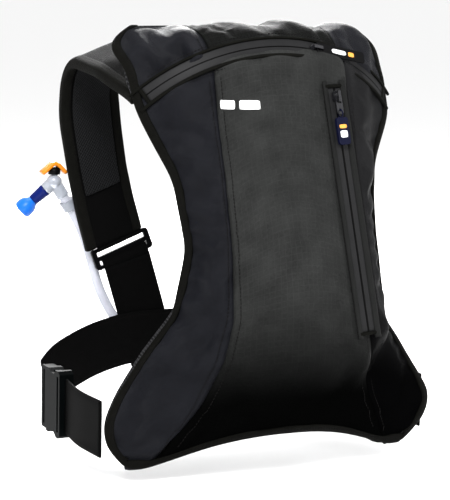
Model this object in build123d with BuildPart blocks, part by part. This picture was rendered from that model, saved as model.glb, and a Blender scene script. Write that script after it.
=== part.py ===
"""Hydration pack in its worn shape, in millimetres.

+Z is up, the wearer stands on the +Y side and +X is the wearer's right. The origin is on the lumbar pad's flat
face, where the pack meets the wearer's back, at the middle of the pack's height.
"""

import os
from math import cos, pi, radians, sin, tan

from build123d import *

os.makedirs("parts", exist_ok=True)

# Fabric and webbing
SHELL = 3.0  # padded shell fabric
GAP = 0.3  # clearance between neighbouring pieces
BELT_HEIGHT = 52.0
BELT_THICK = 2.4
WEBBING_WIDTH = 50.0
WEBBING_THICK = 1.8
BINDING_R = 2.0

# Pack body: height -> half width, Y of the side edges, Y of the front, Y of the back
LEVELS = {
    -198: (140, -8, -27, -2),
    -180: (160, -8, -40, -3),
    -155: (164, -9, -55, -4),
    -132: (152, -7, -67, -5),
    -99: (132, -12, -79, -7),
    -60: (101, -17, -81, -8),
    0: (90, -19, -73, -8),
    62: (100, -10, -54, -4),
    113: (125, 10, -37, 7),
    142: (133, 24, -29, 21),
    165: (130, 38, -22, 35),
    183: (121, 50, -7, 49),
    195: (108, 58, 18, 62),
}
SHOULDER_X = 62.0  # where the front starts to fall away to the sides
SHOULDER_DROP = 0.22  # the share of the depth that it has fallen back there
FOAM = 8.0
MESH = 2.0
BOTTOM_ARC_R = 236.0  # the concave lower edge
BOTTOM_ARC_Z = -168.0  # its highest point

# Top zip: a band of a cone about a tilted axis, so its slider turns about that axis
TOP_ZIP_POINT = (-16.0, 179.0)  # Y and Z of the band's middle
TOP_ZIP_TILT = 28.9  # the axis's rise above the horizontal
TOP_ZIP_R = 168.0
TOP_ZIP_HALF_ARC = 46.0
TOP_ZIP_WIDTH = 13.0
TOP_SLIDER_ANGLE = 12.0  # its rest place, from the middle towards +X

# Side zip: a straight line down the front
SIDE_ZIP_TOP = Vector(48, -29, 142)
SIDE_ZIP_END = Vector(64, -78, -75)
SIDE_ZIP_WIDTH = 15.0
TAPE_THICK = 1.6

# Shoulder strap: its side profile at the outer edge, then its front outline
STRAP_EDGE_X = -136.0
STRAP_SLOPE = 0.39  # rise towards the neck for each mm inward
STRAP_PROFILE = ((24, 125), (86, 149), (168, 157), (187, 105), (187, -44))
STRAP_RADII = (90, 34, 60)
STRAP_OUTER_EDGE = ((-136, 230), (-136, 130), (-132, 92), (-124, 49), (-114, 4), (-96, -60))
STRAP_INNER_EDGE = ((-38, -60), (-50, -4), (-59, 25), (-66, 53), (-72, 92), (-76, 130), (-76, 230))
COVER_THICK = 3.0
STRAP_FOAM = 5.0
STRAP_MESH = 2.0
MESH_INSET = 11.0

# Ladder ring between strap and webbing
RING_CENTRE = Vector(-67.6, 187.0, -29.6)
RING_TILT = 21.3
RING_WIDTH = 64.0
RING_HEIGHT = 22.0
RING_THICK = 4.0

# Buckle on the wearer's left
BUCKLE = Vector(-165.0, 109.0, -159.0)
BUCKLE_HEIGHT = 64.0
BUCKLE_THICK = 14.0

# Drinking hose
HOSE_D = 10.0


def save(piece, name):
    """Names a finished piece and writes its file."""
    piece.part.label = name
    export_step(piece.part, f"parts/{name}.step")


def soft_radii(points):
    """The radius of each corner of a route: the largest tangent arcs that its runs allow."""
    spots = [Vector(*point) for point in points]
    radii = []
    for before, here, after in zip(spots, spots[1:], spots[2:]):
        turn = radians((here - before).get_angle(after - here))
        shorter = min((here - before).length, (after - here).length)
        radii.append(0.45 * shorter / tan(turn / 2))
    return radii


def hull(inset, front_in, back_in, levels=LEVELS):
    """The pack's volume: sections at each height, drawn in at the sides, the front and the back."""
    with BuildPart() as volume:
        for z, (half, edge, front, back) in levels.items():
            w = half - inset
            y0 = front + front_in
            y1 = back - back_in
            shoulder = (SHOULDER_X - inset / 2, y0 + SHOULDER_DROP * (edge - y0))
            with BuildSketch(Plane.XY.offset(z)):
                with BuildLine():
                    Spline((-w, edge), (-shoulder[0], shoulder[1]), (0, y0), shoulder, (w, edge))
                    ThreePointArc((w, edge), (0, y1), (-w, edge))
                make_face()
        loft()
    return volume.part


def lens(back_from, back_to):
    """A layer over the wearer's side, between two depths from the back surface."""
    with BuildPart() as layer:
        for z, (half, edge, _, back) in LEVELS.items():
            with BuildSketch(Plane.XY.offset(z)):
                with BuildLine():
                    ThreePointArc((-half, edge), (0, back + back_from), (half, edge))
                    ThreePointArc((half, edge), (0, back + back_to), (-half, edge))
                make_face()
        loft()
    return layer.part


def bottom_cut():
    """What the concave lower edge takes away."""
    with BuildPart() as cut:
        with BuildSketch(Plane.XZ.offset(-100)):
            with Locations((0, BOTTOM_ARC_Z - BOTTOM_ARC_R)):
                Circle(BOTTOM_ARC_R)
        extrude(amount=250)
    return cut.part


# The top zip's frame: its axis, and the band's own directions in the plane X = 0
tilt = radians(TOP_ZIP_TILT)
ZIP_AXIS = Vector(0, cos(tilt), sin(tilt))
zip_point = Vector(0, *TOP_ZIP_POINT)
zip_centre = zip_point + Vector(0, sin(tilt), -cos(tilt)) * TOP_ZIP_R
top_zip_axis = Axis(zip_centre, ZIP_AXIS)
band_out = Vector(0, -cos(tilt), sin(tilt))
band_up = Vector(0, sin(tilt), cos(tilt))


def cone_band(up_from, up_to, out_from, out_to, half_arc):
    """A band of the top zip's cone."""
    corners = ((up_from, out_from), (up_to, out_from), (up_to, out_to), (up_from, out_to))
    with BuildPart() as band:
        with BuildSketch(Plane.YZ):
            with BuildLine():
                spots = [zip_point + band_up * up + band_out * out for up, out in corners]
                Polyline([(spot.Y, spot.Z) for spot in spots], close=True)
            make_face()
        revolve(axis=top_zip_axis, revolution_arc=2 * half_arc)
    return band.part.rotate(top_zip_axis, -half_arc)


def upper_region():
    """Everything above the top zip's middle line."""
    return cone_band(0, 110, -110, 40, 75)


def front_prism(points):
    """A prism along Y with this front outline."""
    with BuildPart() as prism:
        with BuildSketch(Plane.XZ.offset(-120)):
            with BuildLine():
                Polyline(points, close=True)
            make_face()
        extrude(amount=250)
    return prism.part


# ---- Pack body: one shell, cut into its panels along the seams ----
lower_edge = bottom_cut()
inside_levels = {z: row for z, row in LEVELS.items() if -190 < z < 190}
front_volume = hull(0, 0, FOAM + GAP) - lower_edge
cavity = hull(7, SHELL, FOAM - 1, inside_levels) - lower_edge.moved(Location((0, 0, SHELL)))
top_slot = cone_band(-TOP_ZIP_WIDTH / 2 - GAP, TOP_ZIP_WIDTH / 2 + GAP, -14, 14, TOP_ZIP_HALF_ARC + 0.3)
zip_run = SIDE_ZIP_END - SIDE_ZIP_TOP
zip_length = zip_run.length
side_out = (Vector(0.16, -1, 0) - zip_run * (Vector(0.16, -1, 0).dot(zip_run) / zip_run.dot(zip_run))).normalized()
side_plane = Plane(origin=SIDE_ZIP_TOP, x_dir=zip_run.normalized(), z_dir=side_out)


def side_block(x_from, x_to, width, out_from, out_to):
    """A block on the side zip: along its run, across it and outwards."""
    with BuildPart() as block:
        with BuildSketch(side_plane.offset(out_from)):
            with Locations(((x_from + x_to) / 2, 0)):
                Rectangle(x_to - x_from, width)
        extrude(amount=out_to - out_from)
    return block.part


side_slot = side_block(-GAP, zip_length + GAP, SIDE_ZIP_WIDTH + 2 * GAP, -14, 10)
shell = front_volume - cavity - top_slot - side_slot
above = upper_region()
SEAM = ((-65, 260), (-65, -60), (-71, -97), (-85, -141), (-95, -157), (-130, -210))
centre_outline = SEAM + tuple((-x, z) for x, z in reversed(SEAM))
centre_prism = front_prism(centre_outline)

lower_shell = shell - cone_band(-GAP, 110, -110, 40, 75)
with BuildPart() as centre_panel:
    add((lower_shell & centre_prism).solids().sort_by(SortBy.VOLUME)[-1])
save(centre_panel, "centre_panel")

sides = lower_shell - centre_prism
with BuildPart() as left_side_panel:
    add([solid for solid in sides.solids() if solid.center().X < 0])
save(left_side_panel, "left_side_panel")
with BuildPart() as right_side_panel:
    add([solid for solid in sides.solids() if solid.center().X > 0])
save(right_side_panel, "right_side_panel")

with BuildPart() as lumbar_pad:
    with BuildSketch(Plane.XZ):
        RectangleRounded(120, 100, 18)
    extrude(amount=20)
    add(hull(-30, -60, -MESH - GAP), mode=Mode.SUBTRACT)
save(lumbar_pad, "lumbar_pad")


# ---- Edge bindings ----
def rolled_edge(points, radius=BINDING_R):
    """A rolled binding along an edge."""
    with BuildPart() as roll:
        with BuildLine():
            path = FilletPolyline(*points, radius=soft_radii(points))
        with BuildSketch(Plane(origin=path @ 0, z_dir=path % 0)):
            Circle(radius)
        sweep()
    return roll.part


EDGE_OUT = BINDING_R + GAP
right_edge = [(half + EDGE_OUT, edge, z) for z, (half, edge, _, _) in LEVELS.items() if -170 < z < 150]
with BuildPart() as right_edge_binding:
    add(rolled_edge(right_edge))
save(right_edge_binding, "right_edge_binding")
with BuildPart() as left_edge_binding:
    mirror(right_edge_binding.part, about=Plane.YZ)
save(left_edge_binding, "left_edge_binding")


# ---- Zips ----
with BuildPart() as top_zip_tape:
    add(cone_band(-TOP_ZIP_WIDTH / 2, TOP_ZIP_WIDTH / 2, -TAPE_THICK / 2, TAPE_THICK / 2, TOP_ZIP_HALF_ARC))
save(top_zip_tape, "top_zip_tape")
with BuildPart() as side_zip_tape:
    add(side_block(0, zip_length, SIDE_ZIP_WIDTH, -TAPE_THICK / 2, TAPE_THICK / 2))
save(side_zip_tape, "side_zip_tape")

SLIDER_LENGTH = 11.0
SLIDER_WIDTH = 8.0
SLIDER_THICK = 2.6
BRIDGE_HEIGHT = 3.2


def slider(plane):
    """A zip slider whose travel runs along the plane's x, with a bridge for the puller."""
    face = plane.offset(TAPE_THICK / 2 + GAP)
    with BuildPart() as body:
        with BuildSketch(face):
            SlotOverall(SLIDER_LENGTH, SLIDER_WIDTH)
        extrude(amount=SLIDER_THICK)
        with BuildSketch(face.offset(SLIDER_THICK)):
            with Locations((-SLIDER_LENGTH / 2 + 1.5, 0), (SLIDER_LENGTH / 2 - 1.5, 0)):
                Rectangle(1.8, 3)
        extrude(amount=BRIDGE_HEIGHT)
        with BuildSketch(face.offset(SLIDER_THICK + BRIDGE_HEIGHT)):
            Rectangle(SLIDER_LENGTH - 1.2, 3)
        extrude(amount=1.2)
    return body.part


def puller(plane, height, length, width, end_hole):
    """A flat puller whose crossbar sits under the slider's bridge, lying along the plane's x."""
    with BuildPart() as pull:
        with BuildSketch(plane.offset(height)):
            with Locations((length / 2 - CROSSBAR / 2, 0)):
                RectangleRounded(length, width, 1.8)
            with Locations((CROSSBAR / 2 + WINDOW_LENGTH / 2, 0)):
                Rectangle(WINDOW_LENGTH, WINDOW_WIDTH, mode=Mode.SUBTRACT)
            if end_hole:
                with Locations((length - CROSSBAR / 2 - END_HOLE_IN, 0)):
                    Circle(END_HOLE_R, mode=Mode.SUBTRACT)
        extrude(amount=PULL_THICK)
        bar = plane.offset(height + PULL_THICK / 2)
        with BuildSketch(Plane(origin=bar.from_local_coords((0, 1 - width / 2, 0)), z_dir=bar.y_dir)):
            Circle(CROSSBAR / 2)
        extrude(amount=width - 2)
    return pull.part


CROSSBAR = 1.8
WINDOW_LENGTH = 5.6
WINDOW_WIDTH = 4.4
END_HOLE_IN = 3.4
END_HOLE_R = 1.4
PULL_THICK = 1.4
PULL_HEIGHT = TAPE_THICK / 2 + GAP + SLIDER_THICK + 0.7
PULL_LENGTH = 17.0
PULL_WIDTH = 7.2
HINGE_HEIGHT = PULL_HEIGHT + PULL_THICK / 2

side_rest = Plane(origin=SIDE_ZIP_TOP + zip_run.normalized() * 8, x_dir=zip_run.normalized(), z_dir=side_out)
with BuildPart() as side_zip_slider:
    add(slider(side_rest))
save(side_zip_slider, "side_zip_slider")
with BuildPart() as side_zip_puller:
    add(puller(side_rest, PULL_HEIGHT, PULL_LENGTH, PULL_WIDTH, True))
save(side_zip_puller, "side_zip_puller")

TAG_RING_R = 3.4
TAG_WIRE_R = 0.6
TAG_LENGTH = 25.0
TAG_WIDTH = 13.0
TAG_THICK = 2.6
tag_pivot_x = PULL_LENGTH - CROSSBAR / 2 - END_HOLE_IN - 0.2
tag_ring_plane = Plane(
    origin=side_rest.from_local_coords((tag_pivot_x + TAG_RING_R, 0, HINGE_HEIGHT)),
    x_dir=side_rest.x_dir,
    z_dir=side_rest.y_dir,
)
with BuildPart() as side_zip_tag:
    with BuildSketch(side_rest.offset(HINGE_HEIGHT - TAG_THICK / 2)):
        with Locations((tag_pivot_x + 2 * TAG_RING_R + TAG_LENGTH / 2, 0)):
            RectangleRounded(TAG_LENGTH, TAG_WIDTH, 3)
    extrude(amount=TAG_THICK)
    with Locations(tag_ring_plane):
        Torus(TAG_RING_R, TAG_WIRE_R)
save(side_zip_tag, "side_zip_tag")

spin_axis = Axis((0, 0, 0), ZIP_AXIS)
top_rest = Plane(
    origin=zip_centre + (zip_point - zip_centre).rotate(spin_axis, TOP_SLIDER_ANGLE),
    x_dir=Vector(1, 0, 0).rotate(spin_axis, TOP_SLIDER_ANGLE),
    z_dir=band_out.rotate(spin_axis, TOP_SLIDER_ANGLE),
)
TOP_TAB_LENGTH = 54.0
TOP_TAB_WIDTH = 11.0
with BuildPart() as top_zip_slider:
    add(slider(top_rest))
save(top_zip_slider, "top_zip_slider")
with BuildPart() as top_zip_tab:
    add(puller(top_rest, PULL_HEIGHT, TOP_TAB_LENGTH, TOP_TAB_WIDTH, False))
save(top_zip_tab, "top_zip_tab")


# ---- Shoulder straps ----
def beside(points, distance):
    """The corners of a path that runs beside this one, to its left."""
    spots = [Vector(*point) for point in points]
    ways = [(b - a).normalized() for a, b in zip(spots, spots[1:])]
    sides = [Vector(-way.Y, way.X) for way in ways]
    moved = [spots[0] + sides[0] * distance]
    for corner, first, second in zip(spots[1:-1], sides, sides[1:]):
        middle = (first + second).normalized()
        moved.append(corner + middle * (distance / middle.dot(first)))
    moved.append(spots[-1] + sides[-1] * distance)
    return [(spot.X, spot.Y) for spot in moved]


def strap_band(low, high):
    """A layer of the left strap between two distances from its middle, across the whole width."""
    with BuildPart() as band:
        with BuildSketch(Plane.YZ.offset(STRAP_EDGE_X - 4)) as side:
            with BuildLine():
                inner = FilletPolyline(*beside(STRAP_PROFILE, low), radius=[r + low for r in STRAP_RADII])
                outer = FilletPolyline(*beside(STRAP_PROFILE, high), radius=[r + high for r in STRAP_RADII])
                Line(inner @ 0, outer @ 0)
                Line(inner @ 1, outer @ 1)
            make_face()
        extrude(amount=120, dir=(1, 0, STRAP_SLOPE))
    return band.part


def strap_outline(inset, top=230):
    """The left strap's front outline as a prism along Y."""
    with BuildPart() as prism:
        with BuildSketch(Plane.XZ.offset(-260)):
            with BuildLine():
                outer = Spline(*[(x + inset, min(z, top)) for x, z in STRAP_OUTER_EDGE])
                inner = Spline(*[(x - inset, min(z, top)) for x, z in STRAP_INNER_EDGE])
                Line(outer @ 1, inner @ 0)
                Line(inner @ 1, outer @ 0)
            make_face()
        extrude(amount=260)
    return prism.part


pack_volume = hull(-GAP, -GAP, -MESH - GAP)

# Hang loop: a webbing loop that stands out from the top of the back, towards the wearer
LOOP_R = 17.0
LOOP_WIDTH = 16.0
LOOP_Y = 54.0
LOOP_Z = 166.0
LOOP_THICK = 2.0
with BuildPart() as hang_loop:
    with BuildSketch(Plane.XY.offset(LOOP_Z)):
        for radius, mode in ((LOOP_R, Mode.ADD), (LOOP_R - LOOP_THICK, Mode.SUBTRACT)):
            with Locations((0, LOOP_Y)):
                Circle(radius, mode=mode)
            with Locations((0, LOOP_Y - LOOP_R)):
                Rectangle(2 * radius, 2 * LOOP_R, mode=mode)
    extrude(amount=LOOP_WIDTH)
    add(pack_volume, mode=Mode.SUBTRACT)
save(hang_loop, "hang_loop")
half_thick = (COVER_THICK + STRAP_FOAM + STRAP_MESH) / 2
with BuildPart() as left_strap_cover:
    add(strap_band(half_thick - COVER_THICK, half_thick))
    add(strap_outline(0), mode=Mode.INTERSECT)
    add(pack_volume, mode=Mode.SUBTRACT)
save(left_strap_cover, "left_strap_cover")
with BuildPart() as left_strap_foam:
    add(strap_band(half_thick - COVER_THICK - STRAP_FOAM, half_thick - COVER_THICK))
    add(strap_outline(0), mode=Mode.INTERSECT)
    add(pack_volume, mode=Mode.SUBTRACT)
save(left_strap_foam, "left_strap_foam")
with BuildPart() as left_strap_mesh:
    add(strap_band(-half_thick, STRAP_MESH - half_thick))
    add(strap_outline(MESH_INSET), mode=Mode.INTERSECT)
    add(pack_volume, mode=Mode.SUBTRACT)
    add(front_prism(((-200, -100), (0, -100), (0, 30), (-200, 30))).moved(Location((0, 150, 0))), mode=Mode.SUBTRACT)
save(left_strap_mesh, "left_strap_mesh")

ring_plane = Plane(
    origin=RING_CENTRE + Vector(0, RING_THICK / 2, 0),
    x_dir=(cos(radians(RING_TILT)), 0, sin(radians(RING_TILT))),
    z_dir=(0, -1, 0),
)
RING_SLOT = 4.6
with BuildPart() as left_ladder_ring:
    with BuildSketch(ring_plane):
        RectangleRounded(RING_WIDTH, RING_HEIGHT, 4)
        with Locations((0, 4.6), (0, -4.6)):
            Rectangle(WEBBING_WIDTH + 3, RING_SLOT, mode=Mode.SUBTRACT)
    extrude(amount=RING_THICK)
    fillet(left_ladder_ring.edges().filter_by(GeomType.LINE).group_by(Axis.Y)[0], 0.8)
save(left_ladder_ring, "left_ladder_ring")

WEBBING_LENGTH = 106.0
webbing_down = Vector(0.286, 0, -0.958).normalized()
webbing_top = RING_CENTRE + Vector(sin(radians(RING_TILT)), 0, -cos(radians(RING_TILT))) * (RING_HEIGHT / 2 + 1.6)
webbing_plane = Plane(
    origin=Vector(webbing_top.X, 184.3, webbing_top.Z), x_dir=webbing_down, z_dir=(0, -1, 0)
)
with BuildPart() as left_strap_webbing:
    with BuildSketch(webbing_plane):
        with Locations((WEBBING_LENGTH / 2, 0)):
            Rectangle(WEBBING_LENGTH, WEBBING_WIDTH)
    extrude(amount=WEBBING_THICK)
save(left_strap_webbing, "left_strap_webbing")

for left in (left_strap_cover, left_strap_foam, left_strap_mesh, left_ladder_ring, left_strap_webbing):
    with BuildPart() as right:
        mirror(left.part, about=Plane.YZ)
    save(right, left.part.label.replace("left", "right"))


# ---- Waist belt and buckle ----
BELT_LONG = (
    (-166, 139, -158),
    (-161, 154, -156),
    (-141, 166, -142),
    (-104, 175, -127),
    (-60, 181, -118),
    (60, 181, -118),
    (112, 171, -130),
    (150, 147, -142),
    (169, 96, -156),
    (170, 40, -161),
    (167, -8, -161),
)
BELT_SHORT = ((-167, -8, -161), (-170, 40, -161), (-166, 81, -159))


def webbing_band(points):
    """Belt webbing on edge along a path."""
    with BuildPart() as band:
        with BuildLine():
            path = FilletPolyline(*points, radius=soft_radii(points))
        start = path % 0
        with BuildSketch(Plane(origin=path @ 0, x_dir=(start.Y, -start.X, 0), z_dir=start)):
            Rectangle(BELT_THICK, BELT_HEIGHT)
        sweep(binormal=path.moved(Location((0, 0, BELT_HEIGHT))))
    return band.part


with BuildPart() as belt_long:
    add(webbing_band(BELT_LONG))
save(belt_long, "belt_long")
with BuildPart() as belt_short:
    add(webbing_band(BELT_SHORT))
save(belt_short, "belt_short")

buckle_plane = Plane(origin=BUCKLE + Vector(BUCKLE_THICK / 2, 0, 0), x_dir=(0, 1, 0), z_dir=(-1, 0, 0))
REAR = -26.0
MOUTH = 10.0
CAVITY_HALF = 25.0
CAVITY_THICK = 8.4
ARM_THICK = 6.4
ARM_ROOT = Vector(9.4, 16.5)
LATCH_ANGLE = 8.0
with BuildPart() as buckle_female:
    with BuildSketch(buckle_plane):
        with BuildLine():
            half_outline = ((REAR, 29), (REAR + 4, 32), (-17, 32), (-11, 28), (-4, 28), (3, 31), (MOUTH, 31))
            Polyline(half_outline + tuple((x, -y) for x, y in reversed(half_outline)), close=True)
        make_face()
    extrude(amount=BUCKLE_THICK)
    fillet(buckle_female.edges().filter_by(Axis.X), 1.5)
    with BuildSketch(buckle_plane.offset((BUCKLE_THICK - CAVITY_THICK) / 2)):
        with Locations(((MOUTH - 17) / 2, 0)):
            Rectangle(MOUTH + 17, 2 * CAVITY_HALF)
        with Locations((-8.75, 0)):
            Rectangle(14.5, 80)
    extrude(amount=CAVITY_THICK, mode=Mode.SUBTRACT)
    with BuildSketch(buckle_plane):
        with Locations((REAR + 5.5, 0)):
            Rectangle(4, WEBBING_WIDTH + 3)
    extrude(amount=BUCKLE_THICK, mode=Mode.SUBTRACT)
save(buckle_female, "buckle_female")

with BuildPart() as buckle_male:
    with BuildSketch(buckle_plane.offset(1.5)):
        with Locations((MOUTH + GAP + 8, 0)):
            RectangleRounded(16, 60, 3)
        with Locations((MOUTH + GAP + 9, 0)):
            Rectangle(4, WEBBING_WIDTH + 3, mode=Mode.SUBTRACT)
    extrude(amount=BUCKLE_THICK - 3)
    with BuildSketch(buckle_plane.offset((BUCKLE_THICK - ARM_THICK) / 2)):
        with Locations((MOUTH - 10, 0)):
            Rectangle(23, 9)
    extrude(amount=ARM_THICK)
save(buckle_male, "buckle_male")

ARM_OUTLINE = ((9.4, 14), (9.4, 19), (-2.2, 21.5), (-3.8, 29.5), (-13, 29.5), (-14.4, 22), (-14.4, 18), (-2, 17))
for name, side in (("latch_arm_top", -1), ("latch_arm_bottom", 1)):
    with BuildPart() as arm:
        with BuildSketch(buckle_plane.offset((BUCKLE_THICK - ARM_THICK) / 2)):
            with BuildLine():
                Polyline([(x, side * y) for x, y in ARM_OUTLINE], close=True)
            make_face()
        extrude(amount=ARM_THICK)
    save(arm, name)


# ---- Hose, port, keepers, clip and drinking valve ----
HOSE = (
    (103, 42, 162),
    (103, 86, 179),
    (103, 124, 184),
    (102.5, 159, 184.2),
    (102, 185, 169.6),
    (101, 201, 143.5),
    (100, 201.5, 112),
    (98, 201, 78),
    (94, 200, 44),
    (92, 200, -8),
    (82, 199, -68),
    (52, 198, -118),
    (-4, 198, -140),
    (-58, 198, -120),
    (-86, 199, -76),
    (-97, 200, -34),
    (-110, 200, 0),
    (-126, 199, 24),
)
hose_radii = soft_radii(HOSE)
with BuildPart() as hose:
    with BuildLine():
        hose_run = FilletPolyline(*HOSE, radius=hose_radii)
    with BuildSketch(Plane(origin=hose_run @ 0, z_dir=hose_run % 0)):
        Circle(HOSE_D / 2)
    sweep()
save(hose, "hose")
hose_length = hose_run.length
print("hose radii", [round(r, 1) for r in hose_radii])
hose_tube = pi * (HOSE_D / 2) ** 2 * hose_length
print("hose length", round(hose_length, 1), "volume", round(hose.part.volume), "section x length", round(hose_tube))

hose_way = hose_run % 0
PORT_SHANK_R = 6.0
PORT_SHANK_BACK = 30.0


def port_shank(radius):
    """The port's tube through the back panel."""
    with BuildPart() as shank:
        with BuildSketch(Plane(origin=(hose_run @ 0) - hose_way * PORT_SHANK_BACK, z_dir=hose_way)):
            Circle(radius)
        extrude(amount=PORT_SHANK_BACK - 8)
    return shank.part


with BuildPart() as hose_port:
    with BuildSketch(Plane(origin=(hose_run @ 0) - hose_way * 12, z_dir=hose_way)):
        Circle(8)
    with BuildSketch(Plane(origin=hose_run @ 0, z_dir=hose_way)):
        Circle(7)
    loft()
    add(pack_volume, mode=Mode.SUBTRACT)
    add(port_shank(PORT_SHANK_R))
save(hose_port, "hose_port")
port_hole = port_shank(PORT_SHANK_R + GAP)
with BuildPart() as yoke_panel:
    add(shell)
    add(above, mode=Mode.INTERSECT)
    add(port_hole, mode=Mode.SUBTRACT)
save(yoke_panel, "yoke_panel")
with BuildPart() as back_panel_foam:
    add(lens(-FOAM, 0) - lower_edge - port_hole)
save(back_panel_foam, "back_panel_foam")
with BuildPart() as back_mesh:
    add(lens(GAP / 2, MESH) - lower_edge - port_hole)
save(back_mesh, "back_mesh")


def keeper(place, way, across):
    """An elastic loop round the hose, flat against the strap."""
    with BuildPart() as band:
        with BuildSketch(Plane(origin=place - way * 6, x_dir=across, z_dir=way)):
            Circle(HOSE_D / 2 + 1.8)
            Circle(HOSE_D / 2 + GAP, mode=Mode.SUBTRACT)
        extrude(amount=12)
    return band.part


with BuildPart() as hose_keepers:
    for share in (0.10, 0.33):
        place = hose_run @ share
        add(keeper(place, hose_run % share, (1, 0, 0)))
save(hose_keepers, "hose_keepers")

hose_end = hose_run @ 1
end_way = hose_run % 1
elbow_centre = hose_end + end_way * 17
stem_way = Vector(-0.66, 0.34, -0.67).normalized()
with BuildPart() as valve_elbow:
    with Locations(elbow_centre):
        Sphere(7.5)
    with BuildSketch(Plane(origin=hose_end, z_dir=end_way)):
        Circle(6.2)
    extrude(amount=15)
    with BuildSketch(Plane(origin=elbow_centre, z_dir=stem_way)):
        Circle(6.5)
    extrude(amount=11)
save(valve_elbow, "valve_elbow")

with BuildPart() as valve_stem:
    with BuildSketch(Plane(origin=elbow_centre + stem_way * (11 + GAP), z_dir=stem_way)):
        Circle(7.2)
    extrude(amount=9)
    with BuildSketch(Plane(origin=elbow_centre + stem_way * (20 + GAP), z_dir=stem_way)):
        Circle(4.0)
    extrude(amount=6)
save(valve_stem, "valve_stem")

with BuildPart() as bite_valve:
    with BuildSketch(Plane(origin=elbow_centre + stem_way * (20 + 2 * GAP), z_dir=stem_way)):
        Circle(6.4)
    with BuildSketch(Plane(origin=elbow_centre + stem_way * 30, z_dir=stem_way)):
        Circle(7.6)
    with BuildSketch(Plane(origin=elbow_centre + stem_way * 42, z_dir=stem_way)):
        Ellipse(10.5, 7.5)
    loft()
    with BuildSketch(Plane(origin=elbow_centre + stem_way * (20 + GAP), z_dir=stem_way)):
        Circle(4.0)
    extrude(amount=6.2, mode=Mode.SUBTRACT)
save(bite_valve, "bite_valve")

LEVER_Z = 8.2
lever_plane = Plane(origin=elbow_centre + Vector(0, 0, LEVER_Z), x_dir=(-1, 0, 0), z_dir=(0, 0, 1))
with BuildPart() as shutoff_lever:
    with BuildSketch(lever_plane):
        Circle(8)
    extrude(amount=9)
    with BuildSketch(lever_plane.offset(4)):
        with Locations((9, 0)):
            RectangleRounded(18, 9, 3)
    extrude(amount=7)
save(shutoff_lever, "shutoff_lever")

clip_place = hose_run @ 0.985
with BuildPart() as hose_clip:
    with BuildSketch(Plane(origin=clip_place - end_way * 5, x_dir=(0, 1, 0), z_dir=end_way)):
        Circle(HOSE_D / 2 + 2.2)
        Circle(HOSE_D / 2 + 0.1, mode=Mode.SUBTRACT)
    extrude(amount=10)
save(hose_clip, "hose_clip")


# ---- Reservoir inside the pack ----
POUCH = {-120: (52, -41, 17), -60: (58, -46, 21), 0: (58, -43, 19), 62: (56, -31, 13), 108: (52, -19, 9), 138: (44, -8, 7)}
with BuildPart() as reservoir:
    for z, (half, middle, deep) in POUCH.items():
        with BuildSketch(Plane.XY.offset(z)):
            with Locations((0, middle)):
                Ellipse(half, deep)
    loft()
CAP_Z = -20.0
CAP_R = 21.0
CAP_FRONT = -66.0
cap_plane = Plane(origin=(0, CAP_FRONT, CAP_Z), x_dir=(1, 0, 0), z_dir=(0, 1, 0))
with BuildPart(mode=Mode.PRIVATE) as cap_room:
    with BuildSketch(cap_plane):
        Circle(CAP_R + GAP)
    extrude(amount=9)
with BuildPart() as reservoir_pouch:
    add(reservoir.part)
    add(cap_room.part, mode=Mode.SUBTRACT)
save(reservoir_pouch, "reservoir_pouch")
with BuildPart() as reservoir_cap:
    with BuildSketch(cap_plane):
        Circle(CAP_R)
    extrude(amount=9 - GAP)
save(reservoir_cap, "reservoir_cap")

INNER_HOSE = (
    (64, -40, -92),
    (69, -33, -50),
    (69, -29, 0),
    (74, -23, 56),
    (85, -6, 110),
    tuple((hose_run @ 0) - hose_way * PORT_SHANK_BACK),
)
SPIGOT = 4.4
with BuildPart() as reservoir_outlet:
    with BuildSketch(Plane(origin=(48, -40, -98), z_dir=(1, 0, 0))):
        Circle(5.5)
    extrude(amount=21)
    with BuildSketch(Plane(origin=(64, -40, -98), z_dir=(0, 0, 1))):
        Circle(5)
    extrude(amount=SPIGOT)
    add(reservoir_pouch.part, mode=Mode.SUBTRACT)
save(reservoir_outlet, "reservoir_outlet")
with BuildPart() as inner_hose:
    with BuildLine():
        inner_run = FilletPolyline(*INNER_HOSE, radius=soft_radii(INNER_HOSE))
    with BuildSketch(Plane(origin=inner_run @ 0, z_dir=inner_run % 0)):
        Circle(HOSE_D / 2)
    sweep()
save(inner_hose, "inner_hose")
print("inner hose length", round(inner_run.length, 1))
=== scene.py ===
import math

import bpy
import numpy as np
from mathutils import Matrix, Vector, noise


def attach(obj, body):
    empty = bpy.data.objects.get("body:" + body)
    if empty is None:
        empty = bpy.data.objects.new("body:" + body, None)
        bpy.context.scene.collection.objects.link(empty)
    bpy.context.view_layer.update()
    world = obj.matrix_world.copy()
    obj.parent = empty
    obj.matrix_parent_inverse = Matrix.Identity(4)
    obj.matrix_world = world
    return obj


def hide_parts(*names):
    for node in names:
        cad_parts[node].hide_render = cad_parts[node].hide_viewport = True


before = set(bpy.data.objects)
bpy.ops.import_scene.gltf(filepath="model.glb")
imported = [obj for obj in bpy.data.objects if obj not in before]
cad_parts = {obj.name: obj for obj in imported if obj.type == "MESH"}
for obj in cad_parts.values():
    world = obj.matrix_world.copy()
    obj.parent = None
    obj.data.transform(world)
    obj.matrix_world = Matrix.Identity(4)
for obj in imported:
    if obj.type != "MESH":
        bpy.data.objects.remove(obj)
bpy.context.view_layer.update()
MM = 0.001
scene = bpy.context.scene


# ---- Camera and light ----
AZIMUTH, ELEVATION, ROLL = (math.radians(angle) for angle in (-27.5, 8.0, -1.4))
EYE_TARGET = Vector((0, -0.024, 0))
EYE_AWAY = 1.7  # metres from the target
AIM_LEFT, AIM_DOWN = 0.0294, 0.0027  # the aim's shift off the target, per metre away
LENS, SENSOR = 134.6, 36


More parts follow.
